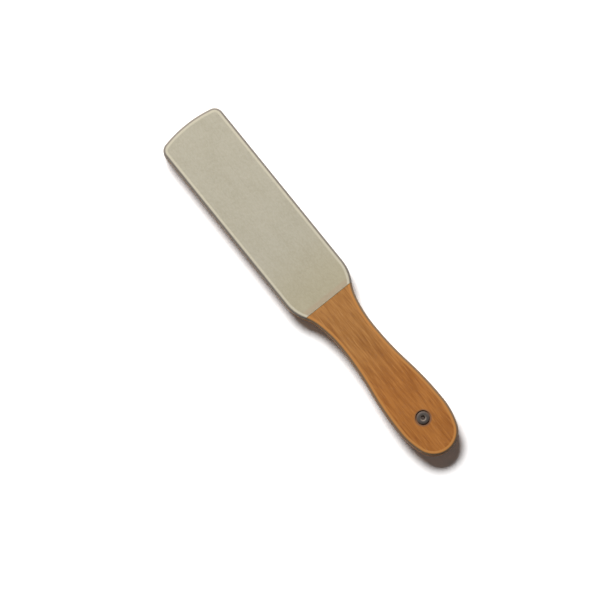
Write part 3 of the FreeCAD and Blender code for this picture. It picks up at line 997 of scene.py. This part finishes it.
def nap_tree(finish):
    tree = bpy.data.node_groups.new("suede_nap", "GeometryNodeTree")
    sockets = tree.interface
    sockets.new_socket("Strip", in_out="INPUT", socket_type="NodeSocketGeometry")
    for name, value in (("Fibres per square mm", 1.1), ("Fibre length mm", 0.55),
                        ("Fibre thickness mm", 0.035), ("Lift mm", 0.1)):
        socket = sockets.new_socket(name, in_out="INPUT", socket_type="NodeSocketFloat")
        socket.default_value = value
    sockets.new_socket("Seed", in_out="INPUT", socket_type="NodeSocketInt").default_value = 4
    sockets.new_socket("Nap", in_out="OUTPUT", socket_type="NodeSocketGeometry")

    def add(kind, inputs=None, **settings):
        return add_node(tree, kind, inputs, **settings)

    def by(first, second):
        return add("ShaderNodeMath", {0: first, 1: second}, operation="MULTIPLY").outputs[0]

    entry = add("NodeGroupInput").outputs
    length, lift = by(entry["Fibre length mm"], MM), by(entry["Lift mm"], MM)
    facing = add("ShaderNodeSeparateXYZ", {0: add("GeometryNodeInputNormal").outputs[0]})
    outer = add("FunctionNodeCompare", {0: facing.outputs["Z"], 1: FACES_OUT},
                data_type="FLOAT", operation="GREATER_THAN").outputs[0]
    density = by(entry["Fibres per square mm"], 1 / MM**2)
    scatter = add("GeometryNodeDistributePointsOnFaces",
                  {"Mesh": entry["Strip"], "Selection": outer, "Density": density,
                   "Seed": entry["Seed"]}, distribute_method="RANDOM").outputs

    middle = add("ShaderNodeCombineXYZ", {"X": by(length, 0.5), "Z": lift}).outputs[0]
    far = add("ShaderNodeCombineXYZ", {"X": length, "Z": by(lift, TIP_LIFT)}).outputs[0]
    root = (0.0, 0.0, -ROOT_DEPTH)
    line = add("GeometryNodeCurveQuadraticBezier",
               {"Resolution": 2, "Start": root, "Middle": middle, "End": far}).outputs[0]
    share = add("GeometryNodeSplineParameter").outputs["Factor"]
    taper = add("ShaderNodeMapRange",
                {"Value": share, "To Min": 1.0, "To Max": TIP_THICKNESS}).outputs[0]
    tapered = add("GeometryNodeSetCurveRadius", {"Curve": line, "Radius": taper}).outputs[0]
    section = add("GeometryNodeCurvePrimitiveCircle",
                  {"Resolution": 3, "Radius": by(entry["Fibre thickness mm"], MM / 2)}).outputs[0]
    fibre = add("GeometryNodeCurveToMesh", {"Curve": tapered, "Profile Curve": section,
                                            "Fill Caps": True}).outputs[0]

    chance = add("FunctionNodeRandomValue",
                 {0: (0, -TILT_SPREAD, -TURN_SPREAD), 1: (0, TILT_SPREAD, TURN_SPREAD), "Seed": 1},
                 data_type="FLOAT_VECTOR").outputs[0]
    turn = add("FunctionNodeEulerToRotation", {0: chance}).outputs[0]
    standing = add("FunctionNodeRotateRotation",
                   {"Rotation": turn, "Rotate By": scatter["Rotation"]},
                   rotation_space="GLOBAL").outputs[0]
    size = add("FunctionNodeRandomValue", {2: SIZE_RANGE[0], 3: SIZE_RANGE[1], "Seed": 2},
               data_type="FLOAT").outputs[1]
    copies = add("GeometryNodeInstanceOnPoints",
                 {"Points": scatter["Points"], "Instance": fibre, "Rotation": standing,
                  "Scale": size}).outputs[0]
    plain = add("GeometryNodeRealizeInstances", {"Geometry": copies}).outputs[0]
    done = add("GeometryNodeSetMaterial", {"Geometry": plain, "Material": finish}).outputs[0]
    add("NodeGroupOutput", {"Nap": done})
    return tree


# %% Grow it on the front face
def grow_nap(name, strip, finish, **sizes):
    """The nap of a strip as a plain mesh of its own."""
    carrier = add_object("nap_carrier", strip.data)
    growth = carrier.modifiers.new("nap", "NODES")
    growth.node_group = nap_tree(finish)
    sockets = growth.node_group.interface.items_tree
    for socket_name, value in sizes.items():
        growth[sockets[socket_name.replace("_", " ")].identifier] = value
    grown = carrier.evaluated_get(bpy.context.evaluated_depsgraph_get())
    mesh = bpy.data.meshes.new_from_object(grown)
    carrier.modifiers.clear()
    bpy.data.objects.remove(carrier)
    mesh.name = name
    return add_object(name, mesh)


nap = grow_nap("suede_nap", suede, suede_finish, Seed=4)
report(nap)

# %% [markdown]
# ## Put each piece on its body
#
# Each piece is put on the body it moves with, and the CAD solid it stands for is hidden. Nothing on
# a strop moves against anything else, so they all ride on the one body.

# %% Bodies, and the CAD solids hidden
for piece, node, slot_name in ((wood, "paddle_core", "wood"),
                               (suede, "front_leather", "suede_leather"),
                               (smooth, "rear_leather", "smooth_leather"),
                               (front_glue, "front_adhesive_film", "adhesive"),
                               (rear_glue, "rear_adhesive_film", "adhesive"),
                               (eyelet, "hanging_eyelet", "eyelet_metal"),
                               (washer, "eyelet_washer", "eyelet_metal")):
    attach(piece, "root")
    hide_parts(node)
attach(nap, "root")

# %% [markdown]
# ## Floor, light and camera
#
# A small tool like this is shown on plain white, from almost straight above, with one soft lamp.
# The lamp stands beyond the tip, at half height and a little to one side, so the shadow falls past
# the handle's end and is only as wide as the board is thick. The lamp is wider than it is high:
# the shadow along the paddle's side is softer than the one past its end. White paper under a lamp
# goes past what a screen can show, and that is how a white ground stays clean while its shadow
# still reads. A faint warm glow in the paper and a fainter one in the room lift the shadow.

# %% White floor
FLOOR_HALF = 3.0  # metres
FLOOR_Z = cad_low[2] - 0.05 * MM
PAPER_GLOW = 0.07


def white_floor():
    finish = Finish("white_paper")
    specks = finish.blobs((2, 2, 2), detail=2)
    finish.link("Base Color", finish.mix(specks, (0.92, 0.92, 0.92, 1), (0.94, 0.94, 0.94, 1)))
    finish.set(Roughness=0.95, Emission_Color=(1.0, 0.78, 0.67, 1.0), Emission_Strength=PAPER_GLOW)
    mesh = bpy.data.meshes.new("floor")
    corners = [(x * FLOOR_HALF, y * FLOOR_HALF, FLOOR_Z) for x, y in
               ((-1, -1), (1, -1), (1, 1), (-1, 1))]
    mesh.from_pydata(corners, [], [(0, 1, 2, 3)])
    mesh.materials.append(finish.material)
    return add_object("floor", mesh)


white_floor()

# %% One soft lamp and a faint room
LAMP_DIRECTION = Vector((-0.712, 0.19, 0.68)).normalized()
LAMP_DISTANCE = 3.4  # metres
LAMP_WIDTH, LAMP_HEIGHT = 2.15, 1.16  # metres
LAMP_POWER = 236  # watts
ROOM_FILL = 0.02


def soft_lamp():
    light = bpy.data.lights.new("soft_lamp", "AREA")
    light.shape, light.energy = "ELLIPSE", LAMP_POWER
    light.size, light.size_y = LAMP_WIDTH, LAMP_HEIGHT
    lamp = add_object("soft_lamp", light)
    lamp.location = LAMP_DIRECTION * LAMP_DISTANCE
    lamp.rotation_euler = LAMP_DIRECTION.to_track_quat("Z", "Y").to_euler()


def faint_room():
    """White where the camera looks past the floor, and a faint warm fill for everything else."""
    world = bpy.data.worlds.new("room")
    world.use_nodes = True
    tree = world.node_tree
    tree.nodes.clear()
    fill = add_node(tree, "ShaderNodeBackground",
                    {"Color": (1.0, 0.93, 0.9, 1.0), "Strength": ROOM_FILL})
    seen = add_node(tree, "ShaderNodeBackground", {"Color": (1.0, 1.0, 1.0, 1.0), "Strength": 1.0})
    to_camera = add_node(tree, "ShaderNodeLightPath").outputs["Is Camera Ray"]
    choose = add_node(tree, "ShaderNodeMixShader",
                      {0: to_camera, 1: fill.outputs[0], 2: seen.outputs[0]})
    add_node(tree, "ShaderNodeOutputWorld", {"Surface": choose.outputs[0]})
    bpy.context.scene.world = world


soft_lamp()
faint_room()
bpy.context.scene.view_settings.view_transform = "Standard"

# %% [markdown]
# The camera stands almost overhead with a long lens, so the paddle keeps its true proportions. It
# is turned so that the strop lies corner to corner, tip at the upper left. Its three axes are
# built from two facts: which way the picture's right side points over the floor, and how steeply
# the camera looks down.

# %% Camera
LENS, SENSOR = 250.0, 36.0  # millimetres
FARTHEST_SEEN = 20  # metres
VIEW_WIDTH = 434.9 * MM
TURN = math.radians(51.2)
LOOK_DOWN = math.radians(85)
OFF_CENTRE = (12.35 * MM, 9.14 * MM)


def overhead_camera():
    picture_right = Vector((math.cos(TURN), math.sin(TURN), 0))
    ground_up = Vector((-math.sin(TURN), math.cos(TURN), 0))
    towards_camera = -ground_up * math.cos(LOOK_DOWN) + Vector((0, 0, math.sin(LOOK_DOWN)))
    picture_up = towards_camera.cross(picture_right)
    middle = Vector((0, 0, BOARD_THICK / 2))
    target = middle - picture_right * OFF_CENTRE[0] - picture_up * OFF_CENTRE[1]
    distance = VIEW_WIDTH * LENS / SENSOR

    lens = bpy.data.cameras.new("camera")
    lens.lens, lens.sensor_width, lens.clip_end = LENS, SENSOR, FARTHEST_SEEN
    camera = add_object("camera", lens)
    camera.location = target + towards_camera * distance
    axes = (picture_right, picture_up, towards_camera)
    camera.rotation_euler = Matrix(axes).transposed().to_euler()
    bpy.context.scene.camera = camera
    print(f"camera {distance:.2f} m away, looking down at {math.degrees(LOOK_DOWN):.1f} degrees")


overhead_camera()
